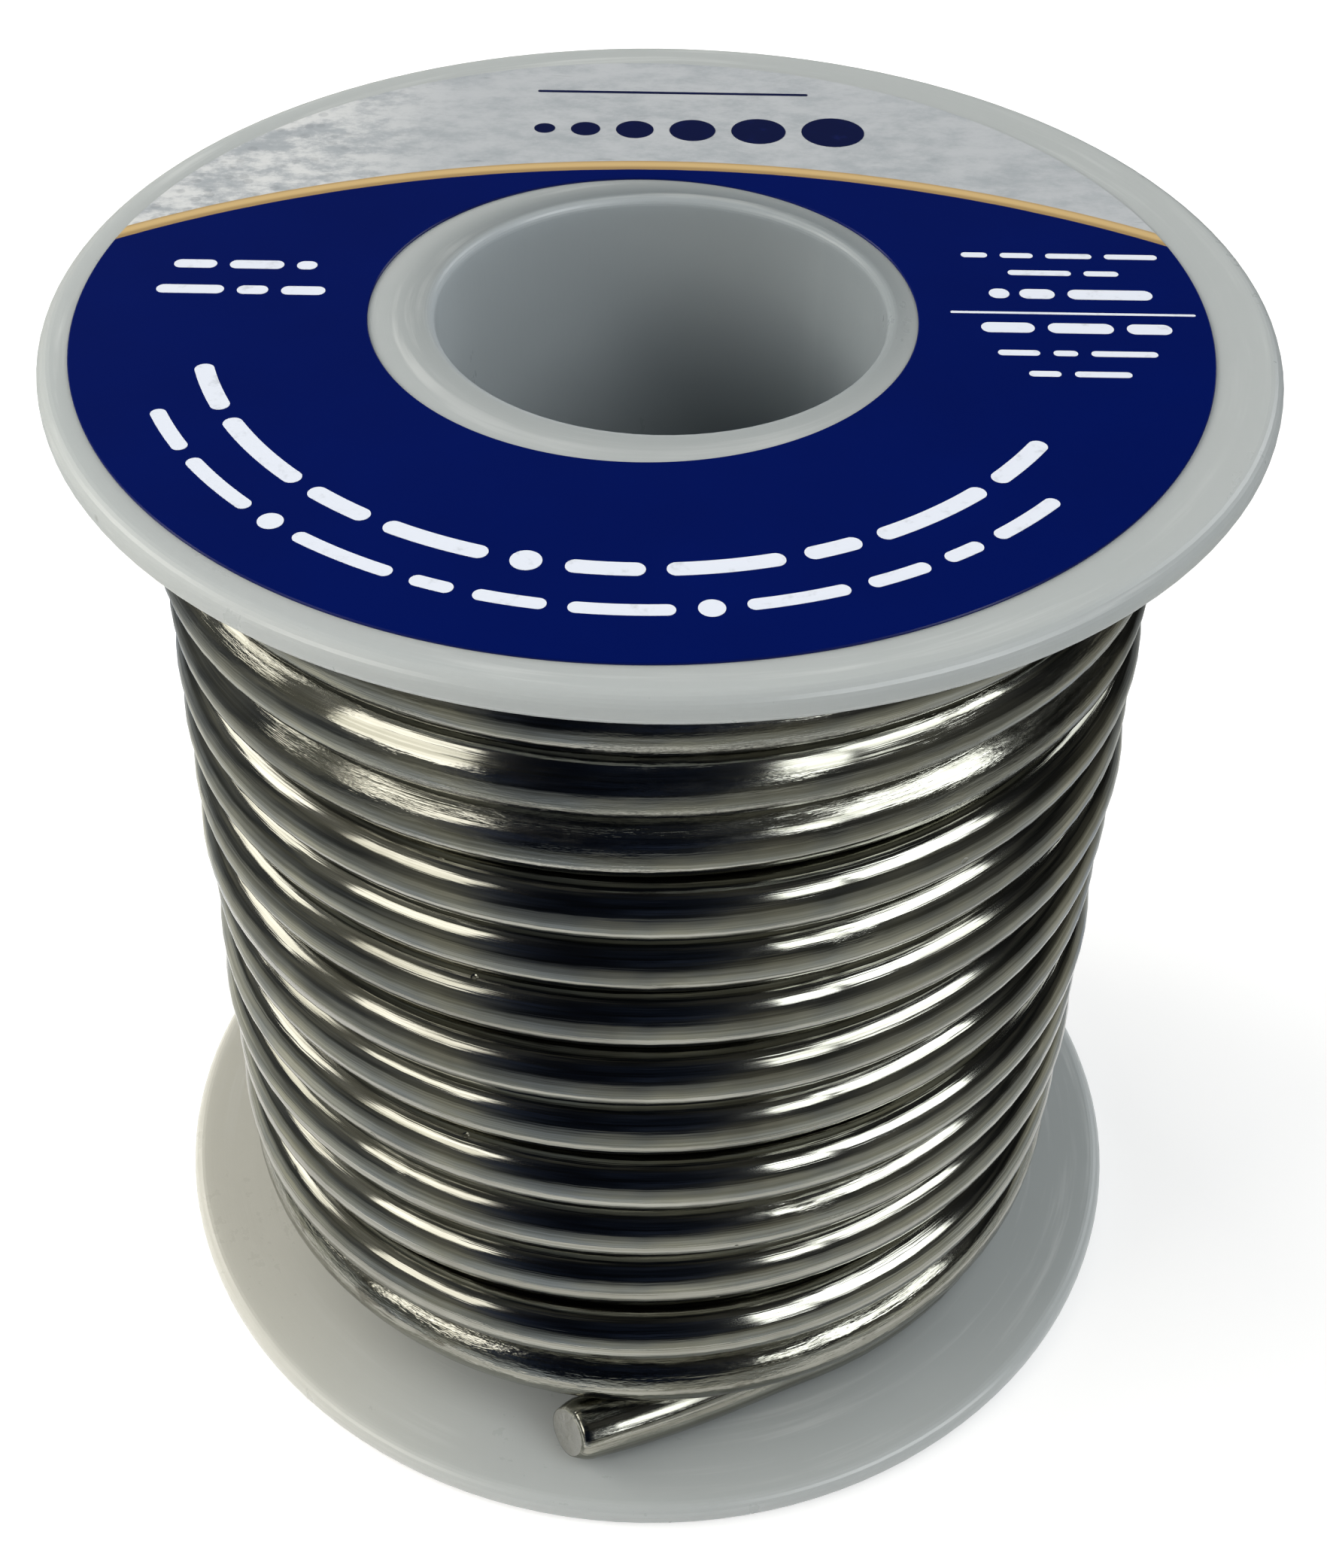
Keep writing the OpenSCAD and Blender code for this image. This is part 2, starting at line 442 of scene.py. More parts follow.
class Winding:
    """The wire's centre line, by turns counted back from where the cut tail leaves the winding."""

    def __init__(self, wire):
        self.wire = wire
        self.half = wire.diameter / 2
        self.low = FLANGE_THICKNESS + self.half
        self.high = SPOOL_HEIGHT - FLANGE_THICKNESS - self.half
        self.outer = BARREL_RADIUS + self.half + (wire.layers - 1) * wire.layer_rise
        self.tail_radius = self.outer - wire.tuck
        self.tail_turns = math.atan(wire.tail / self.tail_radius) / TURN
        slack = wire.slack_pitch / (wire.slack_power + 1)
        self.climb_turns = (self.high - self.low) / (wire.pitch + slack)
        self.top = wire.lie_turns + self.climb_turns
        self.inner_turns = (self.high - self.low) / wire.inner_pitch
        self.end = self.top + (wire.layers - 1) * (self.inner_turns + wire.cross_turns)

    def climb(self, turns):
        """Height gained by the outer layer, whose pitch tightens towards the top."""
        wire = self.wire
        power = wire.slack_power + 1
        share = np.clip(1 - turns / self.climb_turns, 0, 1)
        return wire.pitch * turns + wire.slack_pitch * self.climb_turns / power * (1 - share**power)

    def centre(self, turns):
        """Radius and height of the centre line."""
        wire = self.wire
        tail = np.minimum(turns, 0)
        tucked = self.tail_radius / np.cos(TURN * tail)
        along = np.clip(-tail / self.tail_turns, 0, 1)
        bowed = tucked + wire.bow * np.sin(math.pi * along) * np.sqrt(along)
        radius = bowed + wire.tuck * smooth_share(turns / wire.untuck_turns)
        height = self.low + self.climb(np.maximum(turns - wire.lie_turns, 0))
        stops, radii, heights = [self.top], [self.outer], [self.high]
        for layer in range(wire.layers - 1):
            stops += [stops[-1] + wire.cross_turns, stops[-1] + wire.cross_turns + self.inner_turns]
            radii += [radii[-1] - wire.layer_rise] * 2
            heights += [heights[-1], self.low + self.high - heights[-1]]
        inside = turns > self.top
        radius = np.where(inside, np.interp(turns, stops, radii), radius)
        height = np.where(inside, np.interp(turns, stops, heights), height)
        return radius, height

    def sway(self, turns):
        """Small wander of the outer turns, along the radius and up, calmer where they are packed."""
        loose = np.clip(1.1 - turns / self.top, 0.35, 1) * (turns > 0.4) * (turns < self.top)
        settle = smooth_share((turns - 0.4) / 0.5) * self.wire.sway
        out = np.sin(TURN * 0.61 * turns + 1.0) + 0.8 * np.sin(TURN * 2.23 * turns + 0.3)
        up = np.sin(TURN * 0.37 * turns + 0.4) + 0.6 * np.sin(TURN * 1.63 * turns + 2.1)
        return settle * np.maximum(loose, 0.7 * (turns < self.top)) * out, settle * loose * up

    def points(self, turns):
        """Points of the centre line."""
        radius, height = self.centre(turns)
        out, up = self.sway(turns)
        angle = self.wire.tail_azimuth + TURN * turns
        radius = radius + out
        return np.stack([radius * np.cos(angle), radius * np.sin(angle), height + up], -1)

    def stations(self):
        """Turns at which the tube has a ring: closest at the cut, and wider apart inside the winding."""
        start = 1.5 / self.wire.rings - self.tail_turns
        hidden = self.top + 0.1
        cut = np.linspace(-self.tail_turns, start, 14, endpoint=False)
        outer = np.arange(start, hidden, 1 / self.wire.rings)
        inner = np.arange(hidden, self.end, 1 / self.wire.inner_rings)
        return np.concatenate([cut, outer, inner])

    def section(self, turns, around):
        """Radius of the wire's section: round, with slight flats, and rubbed flat on the top turns."""
        rubbed = smooth_share((turns - (self.top - self.wire.rubbed_turns)) / 0.4)
        rub_angle = math.radians(38) + 0.18 * np.sin(TURN * 1.3 * turns)
        rub_depth = rubbed * (0.045 + 0.02 * np.sin(TURN * 2.7 * turns + 1))
        faint_angle = 1.1 * np.sin(TURN * 0.53 * turns) + 0.5
        faint_depth = 0.016 + 0.014 * np.sin(TURN * 1.9 * turns + 2)
        shape = np.ones(np.broadcast(turns, around).shape)
        for angle, depth in ((rub_angle, rub_depth), (faint_angle, faint_depth)):
            turned = np.cos(around - angle)
            flat = (1 - depth) / np.maximum(turned, 0.5)
            shape = np.minimum(shape, flat)
        oval = 0.008 * np.cos(2 * (around - TURN * 0.41 * turns))
        return self.half * (shape + oval)


def wound_wire(wire):
    """Points, faces and strand coordinates of the whole wire as one tube, from its cut tail inwards."""
    winding = Winding(wire)
    turns = winding.stations()
    centre = winding.points(turns)
    along = np.gradient(centre, axis=0)
    along /= np.linalg.norm(along, axis=1)[:, None]
    side = np.cross(along, (0, 0, 1))
    side /= np.linalg.norm(side, axis=1)[:, None]
    lift = np.cross(side, along)
    around = np.linspace(0, TURN, wire.sides, endpoint=False)
    length = np.concatenate([[0], np.cumsum(np.linalg.norm(np.diff(centre, axis=0), axis=1))])
    pinched = smooth_share(1 - length / wire.pinch_length)
    tapered = np.clip(1 - length / wire.taper_length, 0, 1) ** 2
    radius = winding.section(turns[:, None], around[None, :]) * (1 - wire.taper * tapered[:, None])
    lift *= 1 - wire.pinch * pinched[:, None]
    ring = np.cos(around)[None, :, None] * side[:, None] + np.sin(around)[None, :, None] * lift[:, None]
    points = centre[:, None] + radius[..., None] * ring

    # The cutters left a slanted, uneven face, and the shoulder behind it slants less and less
    slant = wire.cut_lean * np.sin(around) + wire.cut_turn * np.cos(around)
    slant += wire.cut_bulge * 0.3 * np.sin(3 * around + 1)
    points += tapered[:, None, None] * slant[None, :, None] * along[0]
    strand = np.empty(points.shape)
    strand[..., 0] = length[:, None]
    strand[..., 1] = winding.half * np.cos(around)
    strand[..., 2] = winding.half * np.sin(around)

    # The walls of the tube
    count, sides = points.shape[:2]
    index = np.arange(count * sides).reshape(count, sides)
    following = np.roll(index, -1, axis=1)
    walls = np.stack([index[:-1], index[1:], following[1:], following[:-1]], -1).reshape(-1, 4)
    faces = walls.tolist()
    cap_start = len(faces)
    flat_points = points.reshape(-1, 3).tolist()
    flat_strand = strand.reshape(-1, 3).tolist()

    # The cut face, as rings that bulge towards its middle
    rim = index[0].tolist()
    face_middle = points[0].mean(axis=0)
    for share in (0.96, 0.85, 0.6, 0.3):
        inner = list(range(len(flat_points), len(flat_points) + sides))
        bulge = along[0] * wire.cut_bulge * min(1, (1 - share) * 6)
        flat_points += (face_middle + (points[0] - face_middle) * share - bulge).tolist()
        flat_strand += strand[0].tolist()
        for k in range(sides):
            after = (k + 1) % sides
            faces.append([rim[k], rim[after], inner[after], inner[k]])
        rim = inner
    faces.append(rim[::-1])
    cap_end = len(faces)

    # The inner end, out of sight, and which faces have the cut's finish
    faces.append(index[-1].tolist())
    cut = [1 if cap_start + sides <= k < cap_end else 0 for k in range(len(faces))]
    return flat_points, faces, flat_strand, cut, float(length[-1])


def ring_face(outer, inner, centre, low, high, steps, segments, wave):
    """A thin flat ring with softened edges and a faint wave in its face."""
    edge = min(0.04 * MM, (high - low) / 2)
    profile = [(inner, low), (inner, high - edge), (inner + edge, high)]
    profile += [(inner + (outer - inner) * k / steps, high) for k in range(1, steps)]
    profile += [(outer - edge, high), (outer, high - edge), (outer, low)]
    points, faces = [], []
    for k in range(segments):
        angle = TURN * k / segments
        for radius, height in profile:
            dip = wave * (1 - math.sin(3 * angle + radius * 900)) if height == high else 0
            x = centre.x + radius * math.cos(angle)
            y = centre.y + radius * math.sin(angle)
            points.append((x, y, height - dip))
    count = len(profile)
    for k in range(segments):
        here, there = k * count, (k + 1) % segments * count
        for i in range(count):
            j = (i + 1) % count
            faces.append([here + i, there + i, there + j, here + j])
    return points, faces


def stroke(line, width, low, high, cap_steps=5, tip=0.02):
    """A thin printed bar along a centre line, with round ends: points and faces.

    The tip is the share of the width left at the very end, so that no face there is empty.
    """
    half = width / 2
    path = np.array(line, float)
    ends = []
    for end, before in ((path[0], path[1]), (path[-1], path[-2])):
        way = (end - before) / np.linalg.norm(end - before)
        angles = [math.pi / 2 * k / cap_steps for k in range(1, cap_steps + 1)]
        ends.append([(end + way * half * math.sin(a), half * (math.cos(a) + tip)) for a in angles])
    stations = ends[0][::-1] + [(p, half) for p in path] + ends[1]
    centres = np.array([s[0] for s in stations])
    halves = np.array([s[1] for s in stations])
    way = np.gradient(centres, axis=0)
    way /= np.linalg.norm(way, axis=1)[:, None]
    normal = np.stack([-way[:, 1], way[:, 0]], -1)
    points, faces = [], []
    for centre, across, reach in zip(centres, normal, halves):
        left, right = centre + across * reach, centre - across * reach
        points += [(*left, low), (*right, low), (*right, high), (*left, high)]
    for k in range(len(stations) - 1):
        a, b = 4 * k, 4 * k + 4
        for i in range(4):
            j = (i + 1) % 4
            faces.append([a + i, a + j, b + j, b + i])
    last = 4 * (len(stations) - 1)
    faces += [[0, 3, 2, 1], [last, last + 1, last + 2, last + 3]]
    return points, faces


def lathe(profile, sides):
    """Points and faces of a profile turned round Z, open at both ends."""
    points, faces = [], []
    count = len(profile)
    for k in range(sides):
        angle = TURN * k / sides
        for radius, height in profile:
            points.append((radius * math.cos(angle), radius * math.sin(angle), height))
        here, there = k * count, (k + 1) % sides * count
        for i in range(count - 1):
            faces.append([here + i, there + i, there + i + 1, here + i + 1])
    return points, faces


def straight(x, y, length):
    """Centre line of a level bar whose middle is at x, y."""
    return [(x - length / 2, y), (x, y), (x + length / 2, y)]


def dot(x, y, radius, low, high, sides=32):
    """A thin printed dot: points and faces."""
    points, faces = [], []
    for k in range(sides):
        angle = TURN * k / sides
        at = (x + radius * math.cos(angle), y + radius * math.sin(angle))
        points += [(*at, low), (*at, high)]
        a, b = 2 * k, 2 * ((k + 1) % sides)
        faces.append([a, b, b + 1, a + 1])
    faces += [list(range(2 * sides - 2, -1, -2)), list(range(1, 2 * sides, 2))]
    return points, faces


def bend(centre, radius, start, stop):
    """Centre line along an arc, from one azimuth to another."""
    steps = max(2, int(abs(stop - start) / math.radians(1.5)))
    angles = [start + (stop - start) * k / steps for k in range(steps + 1)]
    return [(centre.x + radius * math.cos(a), centre.y + radius * math.sin(a)) for a in angles]


def dash_spans(start, stop, shares, width, gap):
    """Ends of the centre lines of a row of dashes that fills a length, with round ends and true gaps."""
    unit = (stop - start - gap * (len(shares) - 1)) / sum(shares)
    spans, at = [], start
    for share in shares:
        spans.append((at + width / 2, at + max(unit * share - width / 2, width * 0.6)))
        at += unit * share + gap
    return spans


def merge(strokes):
    """Joins the points and faces of many strokes."""
    points, faces = [], []
    for stroke_points, stroke_faces in strokes:
        base = len(points)
        points += stroke_points
        faces += [[base + i for i in face] for face in stroke_faces]
    return points, faces


# ---- What a user would change ----


def colour_property(name, description, default):
    """A colour that a user can pick."""
    return FloatVectorProperty(
        name=name, description=description, subtype="COLOR", size=3, min=0, max=1, default=default
    )


def length_property(name, description, default):
    """A length in metres."""
    return FloatProperty(name=name, description=description, unit="LENGTH", precision=5, default=default)


def share_property(name, description, default):
    """A share from 0 to 1."""
    return FloatProperty(
        name=name, description=description, subtype="FACTOR", min=0, max=1, default=default
    )


class SpoolMouldingSettings(bpy.types.PropertyGroup):
    """Finish of the two plastic mouldings."""

    colour: colour_property("Plastic", "Main colour of the milky plastic", screen_colour(181, 185, 185))
    cloud_colour: colour_property("Clouds", "Colour of its faint clouds", screen_colour(173, 179, 179))
    bore_colour: colour_property("Bore", "Colour of the bore's pale side", screen_colour(180, 187, 190))
    # Painted shade: colour of the bore's shaded side and of the shaded ring round it
    painted_shade_colour: colour_property(
        "Dark bore", "Colour of its dark side and of the ring round it", screen_colour(80, 90, 96)
    )
    # Painted light: the paler, warmer colour of the lower flange towards -X
    painted_light_colour: colour_property(
        "Warm side", "Colour of the lower flange towards -X", screen_colour(204, 202, 190)
    )
    smear_colour: colour_property("Smears", "Colour of its pale smears", screen_colour(214, 217, 216))
    speck_colour: colour_property("Specks", "Colour of the specks of dirt", screen_colour(120, 122, 118))
    milkiness: share_property("Milkiness", "How much light passes under the surface", 0.35)


class SolderWireSettings(bpy.types.PropertyGroup):
    """Sizes and looks of the wound wire."""

    diameter: length_property("Wire", "Diameter of the wire", 3.175 * MM)
    layers: IntProperty(name="Layers", description="Layers wound on the barrel", min=1, default=4)
    layer_rise: length_property("Layer rise", "From one layer's middle to the next", 2.62 * MM)
    pitch: length_property("Pitch", "Pitch of the outer layer where it is packed", 3.15 * MM)
    slack_pitch: length_property("Slack", "Extra pitch at the slack lower end", 1.07 * MM)
    slack_power: FloatProperty(name="Slack power", description="How fast the slack fades", default=1.5)
    inner_pitch: length_property("Inner pitch", "Pitch of the inner layers", 3.35 * MM)
    lie_turns: FloatProperty(name="Lying turns", description="Turns that lie on the flange", default=0.25)
    untuck_turns: FloatProperty(name="Untuck", description="Turns over which it moves out", default=0.35)
    cross_turns: FloatProperty(name="Crossing", description="Turns taken to change layers", default=0.4)
    tail: length_property("Tail", "Length of the straight tail", 12.3 * MM)
    tail_azimuth: FloatProperty(
        name="Tail azimuth", description="Where the tail leaves", unit="ROTATION", default=math.radians(-67)
    )
    tuck: length_property("Tuck", "How much nearer the axis the tail's turn is", 1.4 * MM)
    sway: length_property("Sway", "Wander of the loosest turns", 0.14 * MM)
    rubbed_turns: FloatProperty(
        name="Rubbed turns", description="Turns rubbed flat at the top", default=3.3
    )
    bow: length_property("Tail bow", "How far the middle of the tail bows outwards", 0.4 * MM)
    pinch: share_property("Pinch", "Share of height lost at the cut", 0.12)
    pinch_length: length_property("Pinch length", "Length of the tail that is pinched", 3.4 * MM)
    taper: share_property("Taper", "Share of width lost at the cut", 0.2)
    taper_length: length_property("Taper length", "Length of the crushed shoulder at the cut", 0.9 * MM)
    cut_lean: length_property("Cut lean", "How far the top of the cut face is set back", 0.35 * MM)
    cut_turn: length_property("Cut turn", "How far its outer side is set back", 0.3 * MM)
    cut_bulge: length_property("Cut ridge", "How far the cut face stands out of its rim", 0.06 * MM)
    rings: IntProperty(name="Rings", description="Rings in an outer turn", min=12, default=96)
    inner_rings: IntProperty(name="Inner rings", description="Rings in an inner turn", min=12, default=36)
    sides: IntProperty(name="Sides", description="Sides of the wire's section", min=8, default=40)
    colour: colour_property("Solder", "Colour of the bright metal", (0.368, 0.368, 0.328))
    dark_colour: colour_property("Lines", "Colour of the drawn lines", (0.215, 0.215, 0.18))
    oxide_colour: colour_property("Oxide", "Colour where it has dulled", (0.14, 0.135, 0.11))
    cut_colour: colour_property("Cut end", "Colour of the cut face", (0.44, 0.44, 0.43))


class RingLabelSettings(bpy.types.PropertyGroup):
    """Layout and colours of the ring label."""

    blue: colour_property("Blue", "Colour of the field", screen_colour(0, 18, 90))
    blue_deep: colour_property("Deep blue", "Where the field is darker", screen_colour(0, 14, 78))
    gold: colour_property("Gold", "Colour of the line", screen_colour(200, 172, 122))
    gold_edge: colour_property("Gold edge", "Colour of the line's edges", screen_colour(160, 134, 92))
    silver: colour_property("Silver", "Colour of the panel", screen_colour(182, 186, 190))
    # Painted shade: colour of the panel's creases
    silver_shade: colour_property(
        "Silver shade", "Where the panel is creased", screen_colour(160, 166, 171)
    )
    # Painted light: colour of the panel's lighter left end
    silver_painted_light: colour_property("Silver light", "Where the panel is rubbed", screen_colour(216, 218, 218))
    silver_mark: colour_property("Silver marks", "Scratches on the panel", screen_colour(128, 133, 138))
    white_ink: colour_property("White ink", "Colour of the light marks", screen_colour(226, 232, 244))
    navy_ink: colour_property("Navy ink", "Colour of the dark marks", screen_colour(6, 16, 60))
    line_centre: FloatVectorProperty(
        name="Line centre",
        description="Centre of the gold arc",
        unit="LENGTH",
        size=2,
        default=(-0.21 * MM, -30.15 * MM),
    )
    line_radius: length_property("Line radius", "Radius of the gold arc", 42.3 * MM)
    line_width: length_property("Line width", "Width of the gold line", 0.85 * MM)
    thickness: length_property("Thickness", "Thickness of the paper", 0.1 * MM)
    ink: length_property("Ink", "Thickness of the ink", 0.01 * MM)


class SpoolStageSettings(bpy.types.PropertyGroup):
    """Camera, floor and lights."""

    distance: length_property("Distance", "Camera to its aim on the axis", 112.74 * MM)
    aim: length_property("Aim height", "Height of that aim", 27.09 * MM)
    elevation: FloatProperty(
        name="Elevation", description="Camera above level", unit="ROTATION", default=math.radians(41.88)
    )
    roll: FloatProperty(name="Roll", description="Camera roll", unit="ROTATION", default=math.radians(0.92))
    lens: FloatProperty(name="Lens", description="Focal length for a 36 mm frame", default=51.46)
    shift: FloatVectorProperty(name="Shift", description="Lens shift", size=2, default=(0.0062, -0.0069))
    floor: colour_property("Floor", "Colour of the floor", (0.80, 0.80, 0.80))
    fill: FloatProperty(name="Fill", description="Brightness of the light from all round", default=0.3)
    lamps: FloatProperty(name="Lamps", description="Brightness of the soft lamps", default=1.0)
    warm_light: colour_property("Warm light", "Colour of the lamps on the left", (1.0, 0.96, 0.89))
    cool_light: colour_property("Cool light", "Colour of the lamps on the right", (0.96, 0.985, 1.0))


class SolderSpoolSettings(bpy.types.PropertyGroup):
    """All settings of the spool."""

    moulding: PointerProperty(type=SpoolMouldingSettings)
    wire: PointerProperty(type=SolderWireSettings)
    label: PointerProperty(type=RingLabelSettings)
    stage: PointerProperty(type=SpoolStageSettings)


# ---- Operators ----


class SPOOL_OT_finish_mouldings(bpy.types.Operator):
    """Give both plastic mouldings their milky finish"""

    bl_idname = "solder_spool.finish_mouldings"
    bl_label = "Finish Mouldings"

    def execute(self, context):
        finish = milky_plastic(context.scene.solder_spool.moulding)
        for name in ("upper_spool_half", "lower_spool_half"):
            moulding = frame["nodes"][name]
            moulding.data.materials.clear()
            moulding.data.materials.append(finish)
        return {"FINISHED"}


class SPOOL_OT_wind_wire(bpy.types.Operator):
    """Wind the solder wire on the barrel, in layers, down to its cut tail"""

    bl_idname = "solder_spool.wind_wire"
    bl_label = "Wind Wire"

    def execute(self, context):
        wire = context.scene.solder_spool.wire
        points, faces, strand, cut, length = wound_wire(wire)
        finishes = [bright_solder(wire), cut_solder(wire)]
        piece = new_piece("solder_wire", points, faces, finishes, "solder", cut)
        layer = piece.data.attributes.new("strand", "FLOAT_VECTOR", "POINT")
        layer.data.foreach_set("vector", np.array(strand).ravel())
        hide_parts("wire_inner_layers", "wire_outer_layer")
        print(f"wire length {length:.3f} m")
        return {"FINISHED"}


class SPOOL_OT_stick_label(bpy.types.Operator):
    """Stick the ring label on the upper flange"""

    bl_idname = "solder_spool.stick_label"
    bl_label = "Stick Label"

    def execute(self, context):
        label = context.scene.solder_spool.label
        points, faces = ring_face(
            outer=LABEL_RADIUS,
            inner=LABEL_HOLE_RADIUS,
            centre=LABEL_CENTRE,
            low=SPOOL_HEIGHT,
            high=SPOOL_HEIGHT + label.thickness,
            steps=14,
            segments=256,
            wave=0.003 * MM,
        )
        piece = new_piece("ring_label", points, faces, [printed_label(label)], "printed_label")
        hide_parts("face_label")
        return {"FINISHED"}


class SPOOL_OT_print_marks(bpy.types.Operator):
    """Print the label's plain marks: dashes, dots and rules, with no lettering"""

    bl_idname = "solder_spool.print_marks"
    bl_label = "Print Marks"

    def execute(self, context):
        label = context.scene.solder_spool.label
        sunk = 0.01 * MM
        low = SPOOL_HEIGHT + label.thickness - sunk
        high = SPOOL_HEIGHT + label.thickness + label.ink
        light = merge(light_marks(low, high))
        dark = merge(dark_marks(low, high))
        white = print_ink("white_ink", label.white_ink, label.silver_shade)
        navy = print_ink("navy_ink", label.navy_ink, label.blue)
        light_piece = new_piece("label_light_marks", *light, [white], "printed_label")
        dark_piece = new_piece("label_dark_marks", *dark, [navy], "printed_label")
        for piece in (light_piece, dark_piece):
            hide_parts("face_label")
        return {"FINISHED"}


def light_marks(low, high):
    """White marks on the blue field: two arcs of dashes with dots, and short rows at both sides."""
    # Radius in mm, first and last azimuth in degrees, shares of the dashes, and width in mm
    arcs = (
        (18.5, -164, -107, (2.4, 3.6, 2.0, 2.9), 0.8),
        (18.5, -98, -32, (2.2, 3.3, 1.7, 3.9, 2.6), 0.8),
        (20.9, -156, -134, (2.6, 3.4), 0.65),
        (20.9, -127, -86, (3.9, 1.5, 2.4, 3.4), 0.65),
        (20.9, -79, -41, (3.2, 2.1, 1.4, 2.9), 0.65),
    )
    arc_gap = 0.75 * MM
    marks = []
    for radius, start, stop, shares, width in arcs:
        reach = radius * MM
        ends = (math.radians(start) * reach, math.radians(stop) * reach)
        for low_end, high_end in dash_spans(*ends, shares, width * MM, arc_gap):
            line = bend(LABEL_CENTRE, reach, low_end / reach, high_end / reach)
            marks.append(stroke(line, width * MM, low, high))

    # Radius in mm, azimuth in degrees, and size in mm of each dot
    dots = ((18.5, -102.5, 0.6), (20.9, -130.5, 0.5), (20.9, -82.5, 0.5))
    for radius, azimuth, size in dots:
        a = math.radians(azimuth)
        x = LABEL_CENTRE.x + radius * MM * math.cos(a)
        y = LABEL_CENTRE.y + radius * MM * math.sin(a)
        marks.append(dot(x, y, size * MM, low, high))

    # Middle across and up, length, shares of the dashes, and width of each short row, in mm
    rows = (
        (-18.0, 2.75, 6.2, (1.9, 2.4, 0.9), 0.7),
        (-17.9, 0.6, 7.2, (2.6, 1.2, 1.7), 0.7),
        (17.4, 4.6, 8.6, (0.8, 1.0, 1.4, 1.6), 0.42),
        (17.4, 3.1, 4.8, (2.0, 1.1), 0.42),
        (17.5, 1.3, 7.0, (0.5, 1.0, 2.4), 0.8),
        (17.4, -1.5, 8.0, (1.3, 1.6, 1.1), 0.8),
        (17.2, -3.5, 6.6, (1.2, 0.7, 1.9), 0.42),
        (17.1, -5.1, 4.2, (0.9, 1.6), 0.42),
    )
    row_gap = 0.55 * MM
    for x, y, length, shares, width in rows:
        ends = ((x - length / 2) * MM, (x + length / 2) * MM)
        for left, right in dash_spans(*ends, shares, width * MM, row_gap):
            line = straight((left + right) / 2, y * MM, right - left)
            marks.append(stroke(line, width * MM, low, high))

    # The thin rule between the rows on the right
    rule = straight(17.4 * MM, -0.3 * MM, 10.2 * MM)
    marks.append(stroke(rule, 0.16 * MM, low, high))
    return marks


def dark_marks(low, high):
    """Navy marks on the silver panel: a thin rule over a row of dots that grow in size."""
    rule = straight(0.4 * MM, 20.2 * MM, 13.0 * MM)
    marks = [stroke(rule, 0.22 * MM, low, high)]
    x, y, gap = -6.2 * MM, 16.2 * MM, 0.75 * MM
    for k in range(6):
        size = (0.5 + 0.2 * k) * MM
        x += size
        marks.append(dot(x, y, size, low, high))
        x += size + gap
    return marks


class SPOOL_OT_set_stage(bpy.types.Operator):
    """Set the camera, the pale floor, the soft lamps and the backdrop"""

    bl_idname = "solder_spool.set_stage"
    bl_label = "Set Stage"

    def execute(self, context):
        stage = context.scene.solder_spool.stage
        place_camera(context.scene, stage)
        lay_floor(stage)
        hang_lamps(stage)
        stand_dark_tent()
        paint_backdrop(context.scene, stage)
        context.scene.view_settings.view_transform = "Standard"
        return {"FINISHED"}


def place_camera(scene, stage):
    """The camera looks down at a point on the spool's axis, a little rolled and shifted."""
    camera = bpy.data.objects.new("camera", bpy.data.cameras.new("camera"))
    scene.collection.objects.link(camera)
    level, down = math.cos(stage.elevation), math.sin(stage.elevation)
    ahead = Vector((0, level, -down))
    right = Vector((1, 0, 0))
    up = right.cross(ahead)
    rolled_right = right * math.cos(stage.roll) + up * math.sin(stage.roll)
    rolled_up = up * math.cos(stage.roll) - right * math.sin(stage.roll)
    turn = Matrix((rolled_right, rolled_up, -ahead)).transposed().to_4x4()
    camera.matrix_world = Matrix.Translation(Vector((0, 0, stage.aim)) - ahead * stage.distance) @ turn
    camera.data.lens = stage.lens
    camera.data.shift_x, camera.data.shift_y = stage.shift
    camera.data.clip_start = 5 * MM
    camera.data.clip_end = 20.0
    scene.camera = camera


def stage_mesh(name, points, faces, material):
    """A mesh for the stage, not attached to the spool's body."""
    thing = new_object(name, points, faces, [material])
    return thing


def shown_rays(finish):
    """One for rays that show the stage: from the camera, or by way of a mirror or glass."""
    rays = finish.add("ShaderNodeLightPath").socket.node.outputs
    shown = Signal(finish, rays["Is Camera Ray"]) | Signal(finish, rays["Is Glossy Ray"])
    return shown | Signal(finish, rays["Is Transmission Ray"])


def lay_floor(stage):
    """A wide pale floor, which looks white to the camera and to bright metal, and keeps the shadow."""
    finish = new_finish("pale_floor")
    x, y = finish.parts(finish.place())[:2]
    away = (x * x + y * y).root()
    brightness = finish.blend(away.ramp(0.12, 0.5), (0.42, 0.42, 0.42), WHITE)
    matt = finish.add("ShaderNodeBsdfDiffuse", sockets={"Color": opaque(stage.floor)})
    glow = finish.glow(brightness)
    lit = finish.add("ShaderNodeAddShader", sockets={0: matt, 1: glow})
    shown = finish.add("ShaderNodeMixShader", sockets={0: shown_rays(finish), 1: matt, 2: lit})
    finish.add("ShaderNodeOutputMaterial", sockets={"Surface": shown})
    reach, sides = 4.0, 64
    angles = [TURN * k / sides for k in range(sides)]
    rim = [(reach * math.cos(a), reach * math.sin(a), 0) for a in angles]
    stage_mesh("floor", rim, [list(range(sides))], finish.owner)


